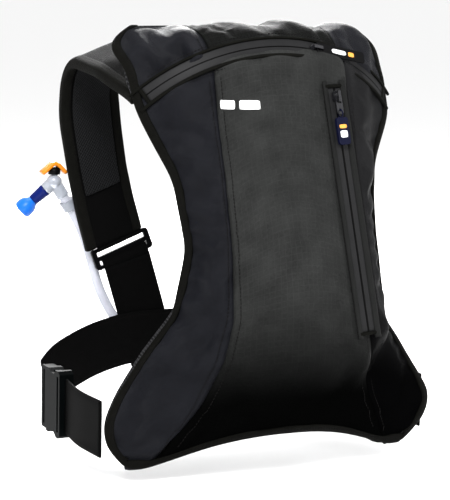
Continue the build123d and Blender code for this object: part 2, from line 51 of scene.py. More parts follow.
def make_camera():
    """The photograph's viewpoint: front left, slightly above, rolled a little."""
    level = Vector((math.cos(AZIMUTH), math.sin(AZIMUTH), 0))
    front = Vector((math.sin(AZIMUTH), -math.cos(AZIMUTH), 0))
    back = front * math.cos(ELEVATION) + Vector((0, 0, math.sin(ELEVATION)))
    rise = back.cross(level)
    right = level * math.cos(ROLL) - rise * math.sin(ROLL)
    up = level * math.sin(ROLL) + rise * math.cos(ROLL)
    eye = EYE_TARGET + back * EYE_AWAY
    aim = (-back - right * AIM_LEFT - up * AIM_DOWN).normalized()
    right = aim.cross(up).normalized()
    up = right.cross(aim)
    data = bpy.data.cameras.new("camera")
    data.lens = LENS
    data.sensor_width = SENSOR
    camera = bpy.data.objects.new("camera", data)
    scene.collection.objects.link(camera)
    camera.matrix_world = Matrix.Translation(eye) @ Matrix((right, up, -aim)).transposed().to_4x4()
    scene.camera = camera


def area_light(name, place, size, power):
    """A soft rectangular light, turned to the middle of the pack."""
    data = bpy.data.lights.new(name, "AREA")
    data.shape = "RECTANGLE"
    data.size, data.size_y = size
    data.energy = power
    light = bpy.data.objects.new(name, data)
    scene.collection.objects.link(light)
    light.location = place
    light.rotation_euler = (-Vector(place)).to_track_quat("-Z", "Y").to_euler()


make_camera()
scene.view_settings.view_transform = "Standard"
world = bpy.data.worlds.new("studio")
world.use_nodes = True
world.node_tree.nodes["Background"].inputs["Color"].default_value = (1, 1, 1, 1)
world.node_tree.nodes["Background"].inputs["Strength"].default_value = 1.0
scene.world = world
area_light("key_light", (-0.9, -1.3, 1.5), (0.8, 0.8), 85)
area_light("right_light", (1.5, -0.7, 0.5), (0.4, 1.4), 16)
area_light("top_light", (0.1, 0.3, 1.6), (1.0, 0.5), 16)
area_light("back_light", (0.7, 1.9, 0.9), (1.2, 1.2), 70)


# ---- Materials ----
class Shader:
    """A Principled material and short ways to add procedural nodes to it."""

    def __init__(self, name, colour, roughness, **constants):
        self.material = bpy.data.materials.new(name)
        self.material.use_nodes = True
        self.tree = self.material.node_tree
        self.surface = self.tree.nodes["Principled BSDF"]
        self.colour = colour
        self.surface.inputs["Base Color"].default_value = (*colour, 1)
        self.surface.inputs["Roughness"].default_value = roughness
        self.material.diffuse_color = (*colour, 1)
        for key, value in constants.items():
            self.surface.inputs[key.replace("_", " ")].default_value = value

    def node(self, kind, **settings):
        made = self.tree.nodes.new(kind)
        for key, value in settings.items():
            setattr(made, key, value)
        return made

    def plug(self, value, socket):
        """A number is set on the socket, and an output is linked to it."""
        if isinstance(value, (int, float, tuple)):
            socket.default_value = value
        else:
            self.tree.links.new(value, socket)

    def math(self, operation, a, b=None):
        made = self.node("ShaderNodeMath", operation=operation)
        self.plug(a, made.inputs[0])
        if b is not None:
            self.plug(b, made.inputs[1])
        return made.outputs[0]

    def axes(self, source):
        """Two coordinates in metres along the surface, and the coordinate vector."""
        vector = self.node("ShaderNodeTexCoord").outputs[source]
        split = self.node("ShaderNodeSeparateXYZ")
        self.plug(vector, split.inputs[0])
        if source == "UV":
            return split.outputs[0], split.outputs[1], vector
        return self.math("ADD", split.outputs[0], split.outputs[1]), split.outputs[2], vector

    def noise(self, vector, scale, detail):
        made = self.node("ShaderNodeTexNoise")
        self.plug(vector, made.inputs["Vector"])
        made.inputs["Scale"].default_value = scale
        made.inputs["Detail"].default_value = detail
        return made.outputs["Fac"]

    def wave(self, coordinate, period):
        """A sine of the coordinate, from -1 to 1."""
        return self.math("SINE", self.math("MULTIPLY", coordinate, 2 * math.pi / period))

    def line(self, coordinate, period, sharpness):
        """Narrow lines, one each period: 1 on a line and 0 between."""
        cosine = self.math("COSINE", self.math("MULTIPLY", coordinate, math.pi / period))
        return self.math("POWER", self.math("ABSOLUTE", cosine), sharpness)

    def ramp(self, value, start, end):
        """Rises from 0 at the start to 1 at the end."""
        made = self.node("ShaderNodeMapRange", interpolation_type="SMOOTHSTEP")
        self.plug(value, made.inputs["Value"])
        self.plug(start, made.inputs["From Min"])
        self.plug(end, made.inputs["From Max"])
        return made.outputs["Result"]

    def tint(self, factor, low, high):
        """The base colour times a share between low and high, as the factor goes from 0 to 1."""
        mix = self.node("ShaderNodeMix", data_type="RGBA")
        self.plug(factor, mix.inputs["Factor"])
        mix.inputs[6].default_value = (*[c * low for c in self.colour], 1)
        mix.inputs[7].default_value = (*[min(1, c * high) for c in self.colour], 1)
        self.tree.links.new(mix.outputs[2], self.surface.inputs["Base Color"])

    def bump(self, *layers):
        """Bumps on top of one another, each (height output, distance in metres, strength)."""
        normal = None
        for height, distance, strength in layers:
            made = self.node("ShaderNodeBump")
            made.inputs["Distance"].default_value = distance
            made.inputs["Strength"].default_value = strength
            self.plug(height, made.inputs["Height"])
            if normal is not None:
                self.plug(normal, made.inputs["Normal"])
            normal = made.outputs[0]
        self.tree.links.new(normal, self.surface.inputs["Normal"])


THREAD_PITCH, THREAD_DEPTH = 0.0007, 0.00012
GRID_PITCH, GRID_SHARPNESS, GRID_DEPTH = 0.0055, 60, 0.0003
RIB_PITCH, RIB_DEPTH = 0.0022, 0.00025
STRAND_DEPTH = 0.0006


def woven(name, colour, roughness, crumple=0.0008, grid=False, shine=0.02, low=0.75, high=1.3, painted_shade_heights=None):
    """Woven cloth: threads both ways, soft crumpling, uneven colour, and a ripstop grid if asked for.

    A painted shade gives two heights up the panel, in metres: the colour and reflections are painted dark
    below the first, and are at full colour above the second.
    """
    cloth = Shader(name, colour, roughness, Specular_IOR_Level=shine)
    u, v, vector = cloth.axes("UV")
    weave = cloth.math("MULTIPLY", cloth.wave(u, THREAD_PITCH), cloth.wave(v, THREAD_PITCH))
    folds = cloth.noise(vector, 38, 4)
    mottle = cloth.noise(vector, 420, 2)
    shade = cloth.math("ADD", cloth.math("MULTIPLY", folds, 0.6), cloth.math("MULTIPLY", mottle, 0.4))
    layers = [(folds, crumple, 0.6), (weave, THREAD_DEPTH, 0.5)]
    if grid:
        lines = [cloth.line(way, GRID_PITCH, GRID_SHARPNESS) for way in (u, v)]
        squares = cloth.math("MAXIMUM", *lines)
        shade = cloth.math("ADD", shade, cloth.math("MULTIPLY", squares, 0.16))
        layers.append((squares, GRID_DEPTH, 0.6))
    # Painted shade: below the given heights the colour darkens and the specular level drops, standing in for
    # shade low on the panel.
    if painted_shade_heights:
        lit = cloth.ramp(v, *painted_shade_heights)
        shade = cloth.math("MULTIPLY", shade, lit)
        cloth.plug(cloth.math("MULTIPLY", lit, shine), cloth.surface.inputs["Specular IOR Level"])
    cloth.tint(shade, low, high)
    cloth.bump(*layers)
    return cloth.material


def ribbed(name, colour, rib, source="UV"):
    """Webbing or binding: ribs across its length, and threads along it at half their pitch."""
    band = Shader(name, colour, 0.6, Specular_IOR_Level=0.015)
    u, v, vector = band.axes(source)
    ribs = band.wave(u, rib)
    threads = band.wave(v, rib / 2)
    worn = band.noise(vector, 160, 3)
    band.tint(band.math("ADD", band.math("MULTIPLY", ribs, 0.18), worn), 0.6, 1.5)
    band.bump((worn, 0.0003, 0.4), (band.math("MULTIPLY", ribs, threads), RIB_DEPTH, 0.7))
    return band.material


def spacer_mesh(name, colour, period):
    """Spacer mesh: a thin diagonal hatch of open cells over a darker ground."""
    cloth = Shader(name, colour, 0.75, Specular_IOR_Level=0.03)
    u, v, vector = cloth.axes("UV")
    one = cloth.line(cloth.math("ADD", u, v), period, 3)
    other = cloth.line(cloth.math("SUBTRACT", u, v), period, 3)
    strands = cloth.math("MAXIMUM", one, cloth.math("MULTIPLY", other, 0.55))
    cloth.tint(strands, 0.25, 1.5)
    cloth.bump((cloth.noise(vector, 60, 2), STRAND_DEPTH, 0.4), (strands, STRAND_DEPTH, 0.9))
    return cloth.material


def moulded(name, colour, roughness, grain=0.00005, **constants):
    """Moulded plastic or rubber with a fine grain."""
    made = Shader(name, colour, roughness, **constants)
    _, _, vector = made.axes("Object")
    made.tint(made.noise(vector, 90, 2), 0.85, 1.15)
    made.bump((made.noise(vector, 2500, 2), grain, 0.4))
    return made.material


SIDE = woven("side_satin", (0.0046, 0.0048, 0.0062), 0.38, crumple=0.0030, shine=0.030, low=0.35, high=1.7)
# Copy of the side satin for the right side, with painted shade darkening it low on the panel.
SIDE_PAINTED_SHADE = woven(
    "side_satin_painted_shade", (0.0060, 0.0060, 0.0064), 0.42,
    crumple=0.0026, shine=0.025, low=0.15, high=1.8, painted_shade_heights=(0.10, 0.26),
)
# The front panel's ripstop carries painted shade: dark below 7 cm up the panel, full colour above 20 cm, with
# its reflections fading the same way.
RIPSTOP = woven(
    "ripstop", (0.0138, 0.0142, 0.0138), 0.46,
    grid=True, crumple=0.0014, shine=0.030, low=0.06, high=1.8, painted_shade_heights=(0.07, 0.20),
)
YOKE_CLOTH = woven(
    "yoke_ripstop", (0.0024, 0.0026, 0.0024), 0.46, grid=True, crumple=0.0016, low=0.5, high=1.5
)
WELT = woven("welt_cloth", (0.0080, 0.0082, 0.0080), 0.5, low=0.6, high=1.4)
STRAP = woven("strap_fabric", (0.0014, 0.0014, 0.0014), 0.6, crumple=0.0008, shine=0.01)
BINDING = ribbed("edge_binding", (0.0030, 0.0030, 0.0025), 0.0016)
WEBBING = ribbed("webbing", (0.0009, 0.0009, 0.0009), RIB_PITCH)
WEBBING_CAD = ribbed("loop_webbing", (0.0009, 0.0009, 0.0009), RIB_PITCH, source="Object")
MESH_STRAP = spacer_mesh("strap_mesh", (0.0060, 0.0062, 0.0066), 0.0034)
# Painted light: the back's spacer mesh is lighter than the strap mesh, standing in for lamp light that hardly
# reaches the back.
MESH_BACK_PAINTED_LIGHT = spacer_mesh("back_spacer_painted_light", (0.0150, 0.0150, 0.0160), 0.0042)
COATED = moulded("coated_tape", (0.0110, 0.0110, 0.0114), 0.42, grain=0.00003, Specular_IOR_Level=0.03)
COIL = moulded("zip_coil", (0.0012, 0.0012, 0.0012), 0.5, Specular_IOR_Level=0.02)
THREAD = moulded("thread", (0.0030, 0.0027, 0.0027), 0.6, Specular_IOR_Level=0.02)
METAL = moulded("zip_metal", (0.012, 0.012, 0.014), 0.32, Metallic=0.6)
BUCKLE = moulded("buckle_plastic", (0.0008, 0.0012, 0.0013), 0.45, Specular_IOR_Level=0.015)
BLACK = moulded("black_plastic", (0.0014, 0.0014, 0.0016), 0.36, Specular_IOR_Level=0.04)
RUBBER = moulded("black_rubber", (0.0020, 0.0020, 0.0022), 0.5, Specular_IOR_Level=0.03)
NAVY = moulded("tag_rubber", (0.0024, 0.0030, 0.0120), 0.45, Specular_IOR_Level=0.04)
ORANGE = moulded("orange_plastic", (0.56, 0.17, 0.008), 0.35, Specular_IOR_Level=0.2)
STEM = moulded("dark_blue_plastic", (0.001, 0.006, 0.075), 0.30, Specular_IOR_Level=0.1)
BLUE = moulded("blue_silicone", (0.004, 0.10, 0.46), 0.38, Specular_IOR_Level=0.2)
CLEAR = moulded("clear_plastic", (0.30, 0.32, 0.36), 0.15, Transmission_Weight=0.35, IOR=1.4)
HOSE = moulded("hose_tube", (0.46, 0.47, 0.53), 0.30, Transmission_Weight=0.30, IOR=1.38)
WHITE = moulded("print_white", (0.62, 0.62, 0.62), 0.5)
AMBER = moulded("print_orange", (0.62, 0.24, 0.02), 0.5)
FLOOR = Shader("floor_pale", (0.93, 0.93, 0.93), 0.9, Specular_IOR_Level=0.1).material


# ---- Mesh building ----
def unit(a):
    """Directions of length one."""
    return a / np.maximum(np.linalg.norm(a, axis=-1, keepdims=True), 1e-9)


def length_along(points):
    """The distance along a line at each of its points, from 0."""
    steps = np.linalg.norm(np.diff(points, axis=0), axis=1)
    return np.concatenate([[0], np.cumsum(steps)])


def add_mesh(name, points, faces, uvs, material):
    """A mesh object from points in mm and texture coordinates in metres."""
    mesh = bpy.data.meshes.new(name)
    mesh.from_pydata((np.asarray(points) * MM).tolist(), [], faces)
    layer = mesh.uv_layers.new(name="UVMap")
    corner = np.zeros(len(mesh.loops), int)
    mesh.loops.foreach_get("vertex_index", corner)
    layer.data.foreach_set("uv", np.asarray(uvs, np.float32)[corner].ravel())
    mesh.polygons.foreach_set("use_smooth", [True] * len(mesh.polygons))
    mesh.materials.append(material)
    made = bpy.data.objects.new(name, mesh)
    scene.collection.objects.link(made)
    return made


def place(made, body, slot, *nodes):
    """A finished piece: what it rides on, its slot, which is not used, and the CAD nodes it stands for."""
    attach(made, body)
    if nodes:
        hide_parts(*nodes)
    return made


def grid_faces(rows, cols, flip=False):
    faces = []
    for i in range(rows - 1):
        for j in range(cols - 1):
            face = (i * cols + j, i * cols + j + 1, (i + 1) * cols + j + 1, (i + 1) * cols + j)
            faces.append(face[::-1] if flip else face)
    return faces


def grid_uv(points):
    """Texture coordinates in metres: x across, and the length along the rows upwards."""
    steps = np.linalg.norm(np.diff(points, axis=0), axis=2).mean(axis=1)
    along = np.concatenate([[0], np.cumsum(steps)])
    v = np.repeat(along[:, None], points.shape[1], axis=1)
    across = np.array([length_along(row) for row in points])
    u = across - across[:, [points.shape[1] // 2]]
    return np.stack([u, v], axis=2).reshape(-1, 2) * MM


def cloth_piece(name, points, material, flip=False, thick=1.2, offset=-1.0, uv=None):
    """A fabric panel from a grid of points, smoothed and given thickness."""
    if uv is None:
        uv = grid_uv(points)
    faces = grid_faces(*points.shape[:2], flip)
    made = add_mesh(name, points.reshape(-1, 3), faces, uv, material)
    smooth = made.modifiers.new("smooth", "SUBSURF")
    smooth.levels = smooth.render_levels = 1
    solid = made.modifiers.new("thickness", "SOLIDIFY")
    solid.thickness = thick * MM
    solid.offset = offset
    return made


def tube_faces(rings, around):
    """The faces of a closed tube with two end caps, from rings of points."""
    faces = []
    for i in range(rings - 1):
        for j in range(around):
            a, b = i * around + j, i * around + (j + 1) % around
            faces.append((a, b, b + around, a + around))
    first, last = range(around), range((rings - 1) * around, rings * around)
    return faces + [tuple(first)[::-1], tuple(last)]


def swept(name, centre, side, up, section, material):
    """A closed section carried along a path, with texture coordinates along and around it.

    side and up are the section's directions at every point of the path, or one direction for all.
    """
    centre = np.asarray(centre, float)
    side, up = (np.broadcast_to(np.asarray(way, float), centre.shape) for way in (side, up))
    n, k = len(centre), len(section)
    points = centre[:, None] + side[:, None] * section[None, :, :1] + up[:, None] * section[None, :, 1:]
    along = np.repeat(length_along(centre)[:, None], k, 1)
    around = np.repeat(length_along(section)[None], n, 0)
    uv = np.stack([along, around], axis=2).reshape(-1, 2) * MM
    return add_mesh(name, points.reshape(-1, 3), tube_faces(n, k), uv, material)


def oval(width, height, power=2.6, count=18):
    """A rounded section, flatter than an ellipse."""
    a = np.linspace(0, 2 * math.pi, count, endpoint=False)
    round_to = [np.sign(w) * abs(w) ** (2 / power) for w in (np.cos(a), np.sin(a))]
    return np.stack([round_to[0] * width / 2, round_to[1] * height / 2], axis=1)


def tangents(points):
    """The direction along a line at each of its points."""
    return unit(np.gradient(np.asarray(points, float), axis=0))


def at(distance, along, values):
    """The values of a line's points, read at a distance along it."""
    return np.stack([np.interp(distance, along, column) for column in values.T], axis=-1)


STITCH_PITCH, STITCH_LENGTH, STITCH_WIDTH = 3.4, 2.3, 0.7
STITCH_ARCH = ((-0.5, 0.0), (-0.25, 0.32), (0.25, 0.32), (0.5, 0.0))  # share of the length, height


def stitches(name, lines, normals, slot="binding"):
    """Rows of thread stitches that lie on a surface of the pack."""
    points, faces = [], []
    for line, normal in zip(lines, normals):
        along, way = length_along(line), tangents(line)
        for start in np.arange(STITCH_PITCH, along[-1] - STITCH_PITCH, STITCH_PITCH):
            spot = at(start, along, line)
            out, run = unit(at(start, along, normal)), unit(at(start, along, way))
            side = unit(np.cross(run, out)) * STITCH_WIDTH
            base = len(points)
            for step, high in STITCH_ARCH:
                for edge in (-0.5, 0.5):
                    points.append(spot + run * step * STITCH_LENGTH + side * edge + out * high)
            faces += [(base + i, base + i + 1, base + i + 3, base + i + 2) for i in (0, 2, 4)]
    return place(add_mesh(name, points, faces, np.zeros((len(points), 2)), THREAD), "pack", slot)


# ---- The pack's shape, in mm ----
# Each row: a height, the half width there, and the y of the side edge, the front and the back
LEVELS = np.array((
    (-198, 140, -8, -27, -2),
    (-180, 160, -8, -40, -3),
    (-155, 164, -9, -55, -4),
    (-132, 152, -7, -67, -5),
    (-99, 132, -12, -79, -7),
    (-60, 101, -17, -81, -8),
    (0, 90, -19, -73, -8),
    (62, 100, -10, -54, -4),
    (113, 125, 10, -37, 7),
    (142, 133, 24, -29, 21),
    (165, 130, 38, -22, 35),
    (183, 121, 50, -7, 49),
    (195, 108, 58, 18, 62),
), float)
# A height and the x of the side seam there
SEAM_LINE = np.array(((-210, 130), (-157, 95), (-141, 85), (-97, 71), (-60, 65), (210, 65)), float)
SHOULDER_X, SHOULDER_DROP = 62.0, 0.22
FLOOR_Z, FLOOR_REACH = -214, 90000
BODY_LOW, BODY_TOP = -198, 194
LOWER_MIDDLE, ZIP_MIDDLE = -168, 179  # heights of the lower edge and the top zip at the middle
EDGE_TOP = 124.0  # where the top zip meets the side edges
ZIP_REACH = 131  # the top zip's half width
BOTTOM_ARC_R, BOTTOM_REACH, BOTTOM_RISE = 236, 140, 30
ZIP_CENTRE = np.array((0, 65.19, 31.92))
ZIP_UP = np.array((0, -0.4833, 0.8755))
ZIP_R = 168.0
SIDE_TOP, SIDE_END = np.array((48, -29, 142.0)), np.array((64, -78, -75.0))
SIDE_OUT = np.array((0.145456, -0.962709, 0.228111))
SIDE_ACROSS = np.array((0.986761, 0.157882, 0.037106))


def table(knots, values, reach=11):
    """A smooth function through rough knots."""
    fine = np.arange(knots[0] - 60, knots[-1] + 60)
    window = np.hanning(2 * reach + 1)
    rough = np.pad(np.interp(fine, knots, values), reach, mode="edge")
    smooth = np.convolve(rough, window / window.sum(), mode="valid")
    return lambda q: np.interp(q, fine, smooth)


HALF, EDGE, FRONT, BACK = (table(LEVELS[:, 0], LEVELS[:, k]) for k in (1, 2, 3, 4))
SEAM_X = table(SEAM_LINE[:, 0], SEAM_LINE[:, 1])


def shoulder(x, z):
    """How far the padded shoulder stands out past the side edge: more on the left than on the right."""
    return np.where(x < 0, 14.0, 7.0) * np.exp(-(((z - 180) / 15) ** 2))


def flare(x, z, half):
    """The lower right corner hangs a little wider than the left one."""
    return np.where(x > 0, 9.0 * (x / half) ** 2 * np.exp(-(((z + 152) / 42) ** 2)), 0)


def ease(q):
    """A smooth step from 0 to 1."""
    q = np.clip(q, 0, 1)
    return q * q * (3 - 2 * q)


def front_y(x, z):
    """The y of the front's surface before folds."""
    half, edge, front = HALF(z), EDGE(z), FRONT(z)
    power = math.log(SHOULDER_DROP) / np.log(SHOULDER_X / half)
    return front + (edge - front) * np.clip(abs(x) / half, 0, 1.05) ** power


ZIP_FALL = ZIP_MIDDLE - 124.2  # how far the top zip drops from its middle to its ends


def zip_arc(x):
    """The top zip's middle line above each x: its y and z."""
    cosine = np.sqrt(1 - (x / ZIP_R) ** 2)
    return ZIP_CENTRE[1] + ZIP_UP[1] * ZIP_R * cosine, ZIP_CENTRE[2] + ZIP_UP[2] * ZIP_R * cosine


SEAM_COL, SIDE_COLS, LOWER_ROWS, YOKE_ROWS, GUSSET_ROWS = 13, 12, 78, 22, 5
COLS = 2 * (SEAM_COL + SIDE_COLS) + 1
LEFT_SEAM, RIGHT_SEAM = COLS // 2 - SEAM_COL, COLS // 2 + SEAM_COL
ZIP_ROW = GUSSET_ROWS + LOWER_ROWS - 1


def column_x(z, half):
    """The x of every column in a row: the seam column follows the seam."""
    seam = np.minimum(SEAM_X(z), half * 0.86)
    k = np.arange(COLS) - COLS // 2
    inner = np.abs(k) <= SEAM_COL
    outer = seam + (np.abs(k) - SEAM_COL) / SIDE_COLS * (half - seam)
    return np.sign(k) * np.where(inner, np.abs(k) / SEAM_COL * seam, outer)


def bottom_arc(q):
    """The concave lower edge: from 0 at the middle to 1 at the corners, for each share of the half width."""
    drop = BOTTOM_ARC_R - np.sqrt(BOTTOM_ARC_R**2 - (BOTTOM_REACH * q) ** 2)
    return np.minimum(drop, BOTTOM_RISE) / BOTTOM_RISE


def from_side_zip(x, z, top, low):
    """How far points are from the side zip, seen from the front, and the zip's x and y beside them."""
    share = np.clip((SIDE_TOP[2] - z) / (SIDE_TOP[2] - SIDE_END[2]), 0, 1)
    line_x = SIDE_TOP[0] + (SIDE_END[0] - SIDE_TOP[0]) * share
    line_y = SIDE_TOP[1] + (SIDE_END[1] - SIDE_TOP[1]) * share
    beyond = np.maximum(0, np.maximum(z - top, low - z))
    return np.abs(x - line_x) + 0.8 * beyond, line_x, line_y


def lower_row(t):
    """One row of the front, from the lower edge at 0 to the top zip at 1."""
    edge_z = BODY_LOW + (EDGE_TOP - BODY_LOW) * t
    middle_z = LOWER_MIDDLE + (ZIP_MIDDLE - LOWER_MIDDLE) * t
    half = float(HALF(edge_z))
    z = np.full(COLS, middle_z)
    for _ in range(4):
        x = column_x(z, half)
        q = np.abs(x) / half
        top = (ZIP_MIDDLE - zip_arc(ZIP_REACH * q)[1]) / ZIP_FALL
        z = middle_z + (edge_z - middle_z) * ((1 - t) * bottom_arc(q) + t * top)
    y = front_y(x, z)
    zip_y, zip_z = zip_arc(np.clip(x, -ZIP_REACH, ZIP_REACH))
    y = y + (zip_y - front_y(x, zip_z)) * ease((t - 0.80) / 0.20) ** 2
    away, line_x, line_y = from_side_zip(x, z, 146, -80)
    near = 1 - ease((away - 13) / 42)
    y = y + (line_y + 0.16 * (x - line_x) + 1.3 - y) * near
    return np.stack([x + flare(x, z, half), y, z], axis=1)


# The yoke's middle line, over the ridge: y and z
YOKE_MIDDLE = np.array(((-16, 179), (-9, 185.5), (2, 192.5), (16, 197), (40, 198.5), (61, 194)), float)


def yoke_row(r, first):
    """One row of the yoke, from the top zip at 0 over the ridge to the back's top edge at 1."""
    share = np.linspace(0, 100, len(YOKE_MIDDLE))
    cy, cz = (table(share, YOKE_MIDDLE[:, k], 12)(r * 100) for k in (0, 1))
    edge_z = EDGE_TOP + (BODY_TOP - EDGE_TOP) * r
    half, ey = float(HALF(edge_z)), float(EDGE(edge_z))
    k = (np.arange(COLS) - COLS // 2) / (COLS // 2)
    x = first[:, 0] * (1 - r) + k * half * r
    q = np.abs(x) / half
    x = x + np.sign(x) * shoulder(x, edge_z) * q**2
    y0, z0 = zip_arc(ZIP_REACH * q)
    share_z = (1 - r) * (ZIP_MIDDLE - z0) / ZIP_FALL + r * q**4
    share_y = (1 - r) * (y0 + 16) / (14.1 + 16) + r * q**3
    return np.stack([x, cy + (ey - cy) * share_y, cz + (edge_z - cz) * share_z], axis=1)


def body_grid():
    """The whole front: the gusset under the lower edge, the front, and the yoke."""
    lower = [lower_row(t) for t in np.linspace(0, 1, LOWER_ROWS)]
    first = lower[0]
    gusset = []
    for g in np.linspace(0, 1, GUSSET_ROWS, endpoint=False):
        row = first.copy()
        row[:, 1] = BACK(-190) + (first[:, 1] - BACK(-190)) * g
        row[:, 2] = first[:, 2] - 3.0 * math.sin(math.pi * g)
        gusset.append(row)
    yoke = [yoke_row(r, lower[-1]) for r in np.linspace(0, 1, YOKE_ROWS + 1)[1:]]
    return np.array(gusset + lower + yoke)


# Folds that the loaded fabric keeps: from and to (x, z), depth, width
FOLDS = (
    ((-72, 30), (-92, -48), -3.4, 7),
    ((-70, -6), (-120, -110), 3.2, 10),
    ((-78, -70), (-140, -150), -3.0, 9),
    ((-74, -100), (-110, -185), 2.6, 8),
    ((-70, 60), (-100, 90), 2.6, 8),
    ((-72, 95), (-118, 108), -2.4, 6),
    ((-60, -30), (-20, -95), -2.4, 12),
    ((-60, 6), (-34, -60), 2.2, 9),
    ((72, 40), (96, 84), 2.2, 7),
    ((74, -8), (88, -60), -2.4, 7),
    ((78, -60), (138, -150), 2.8, 10),
    ((74, -92), (112, -180), -2.6, 9),
    ((20, -150), (60, -120), -1.6, 12),
    ((-50, -140), (0, -152), 1.8, 13),
    ((-112, 128), (-60, 176), 3.0, 9),
    ((-118, 150), (-84, 178), -3.2, 7),
    ((-100, 178), (-70, 190), 2.6, 6),
    ((70, 176), (110, 148), 2.6, 8),
    ((84, 184), (104, 168), -2.6, 6),
    ((52, 200), (64, 176), -4.0, 6),
    ((74, 200), (118, 172), 4.0, 12),
    ((-126, 196), (-104, 160), 3.2, 7),
    ((-92, 200), (-84, 166), -3.0, 6),
    ((-20, 197), (30, 192), -2.0, 6),
    ((10, 200), (44, 186), 2.2, 6),
)


FOLD_GAIN = 1.35


def surface_normals(points):
    along, across = np.gradient(points, axis=0), np.gradient(points, axis=1)
    return unit(np.cross(across, along))


def folded(points, normals):
    """Pushes the grid in and out along the folds and by soft unevenness."""
    x, z = points[..., 0], points[..., 2]
    push = np.zeros(x.shape)
    for (x0, z0), (x1, z1), depth, width in FOLDS:
        dx, dz = x1 - x0, z1 - z0
        length = math.hypot(dx, dz)
        t = ((x - x0) * dx + (z - z0) * dz) / length**2
        bend = 0.06 * length * np.sin(math.pi * np.clip(t, 0, 1)) * (1 if depth > 0 else -1)
        away = ((x - x0) * dz - (z - z0) * dx) / length + bend
        ends = np.clip(np.minimum(t, 1 - t) / 0.28 + 0.25, 0, 1)
        push += FOLD_GAIN * depth * np.exp(-((away / width) ** 2)) * ease(ends)
    from_edge = np.abs(points[:, -1:, 0]) - np.abs(x)
    puckers = np.sin(z / 2.9 + 2.2 * np.sin(z / 17))
    push += 1.3 * puckers * np.exp(-(((from_edge - 9) / 12) ** 2))
    for i in range(points.shape[0]):
        for j in range(points.shape[1]):
            p = Vector(points[i, j]) * 0.018
            push[i, j] += 1.5 * noise.noise(p) + 0.7 * noise.noise(p * 2.7)
    return points + normals * push[..., None]


def held(points):
    """How firmly each point is held: 1 at edges, seams and zips."""
    rows, cols = points.shape[:2]
    hold = np.zeros((rows, cols))
    i, j = np.arange(rows)[:, None], np.arange(cols)[None, :]
    for line in (0, LEFT_SEAM, RIGHT_SEAM, cols - 1):
        hold = np.maximum(hold, np.clip(1.6 - np.abs(j - line), 0, 1) * np.ones((rows, 1)))
    for line in (0, GUSSET_ROWS, ZIP_ROW, rows - 1):
        hold = np.maximum(hold, np.clip(2.2 - np.abs(i - line), 0, 1) * np.ones((1, cols)))
    away, _, _ = from_side_zip(points[..., 0], points[..., 2], 150, -84)
    near = (i < ZIP_ROW) & (i > GUSSET_ROWS)
    return np.maximum(hold, np.where(near, 1 - ease((away - 15) / 14), 0))


SIM_FRAMES, SIM_CAP = 18, 9.0  # frames to run, and the furthest that a point may move


def simulate(points, hold, pressure, slack):
    """Cloth simulation of a grid: slightly too much cloth under a little pressure. Returns the new points."""
    rows, cols = points.shape[:2]
    made = add_mesh("sim", points.reshape(-1, 3), grid_faces(rows, cols), np.zeros((rows * cols, 2)), SIDE)
    group = made.vertex_groups.new(name="held")
    for index, weight in enumerate(hold.ravel()):
        if weight > 0:
            group.add([index], float(weight), "REPLACE")
    cloth = made.modifiers.new("cloth", "CLOTH")
    settings = cloth.settings
    settings.quality = 7
    settings.mass = 0.15
    settings.tension_stiffness = settings.compression_stiffness = 18
    settings.shear_stiffness = 6
    settings.bending_stiffness = 0.4
    settings.vertex_group_mass = "held"
    settings.use_pressure = True
    settings.uniform_pressure_force = pressure
    settings.shrink_min = -slack
    settings.effector_weights.gravity = 0
    cloth.collision_settings.use_collision = False
    cloth.point_cache.frame_start, cloth.point_cache.frame_end = 1, SIM_FRAMES
    for step in range(1, SIM_FRAMES + 1):
        scene.frame_set(step)
    done = made.evaluated_get(bpy.context.evaluated_depsgraph_get()).to_mesh()
    out = np.zeros(rows * cols * 3)
    done.vertices.foreach_get("co", out)
    scene.frame_set(1)
    bpy.data.objects.remove(made)
    moved = out.reshape(rows, cols, 3) / MM - points
    size = np.linalg.norm(moved, axis=2, keepdims=True)
    return points + moved * np.minimum(1, SIM_CAP / np.maximum(size, 1e-6))


# ---- Body panels ----
body = body_grid()
hold = held(body)
body = body + (folded(body, surface_normals(body)) - body) * (1 - hold)[..., None]
body = simulate(body, hold, pressure=2.2, slack=0.035)
normals = surface_normals(body)
for seam in (LEFT_SEAM, RIGHT_SEAM):
    body[:, seam] -= normals[:, seam] * 1.5
uv = grid_uv(body).reshape(*body.shape[:2], 2)


def panel(name, rows, cols, material, slot, *nodes):
    """One sewn piece of the front: a block of the body's grid."""
    part_of = body[rows, cols]
    made = cloth_piece(name, part_of, material, uv=uv[rows, cols].reshape(-1, 2))
    return place(made, "pack", slot, *nodes)


LOW, YOKE = slice(0, ZIP_ROW + 1), slice(ZIP_ROW, None)
LEFT, MIDDLE, RIGHT = slice(0, LEFT_SEAM + 1), slice(LEFT_SEAM, RIGHT_SEAM + 1), slice(RIGHT_SEAM, None)
panel("front_panel", LOW, MIDDLE, RIPSTOP, "ripstop", "centre_panel")
panel("left_side", LOW, LEFT, SIDE, "side_fabric", "left_side_panel")
panel("right_side", LOW, RIGHT, SIDE_PAINTED_SHADE, "side_fabric", "right_side_panel")
panel("yoke_middle", YOKE, MIDDLE, YOKE_CLOTH, "ripstop", "yoke_panel")
panel("yoke_left", YOKE, LEFT, SIDE, "side_fabric", "yoke_panel")
panel("yoke_right", YOKE, RIGHT, SIDE, "side_fabric", "yoke_panel")

# ---- Frames shared by the zips, seams and edges ----
ZIP_AXIS = np.array((0, 0.8755, 0.4833))
ZIP_FACE, ZIP_LEAN = 0.846, 0.532  # cosine and sine of the tape's lean from the axis


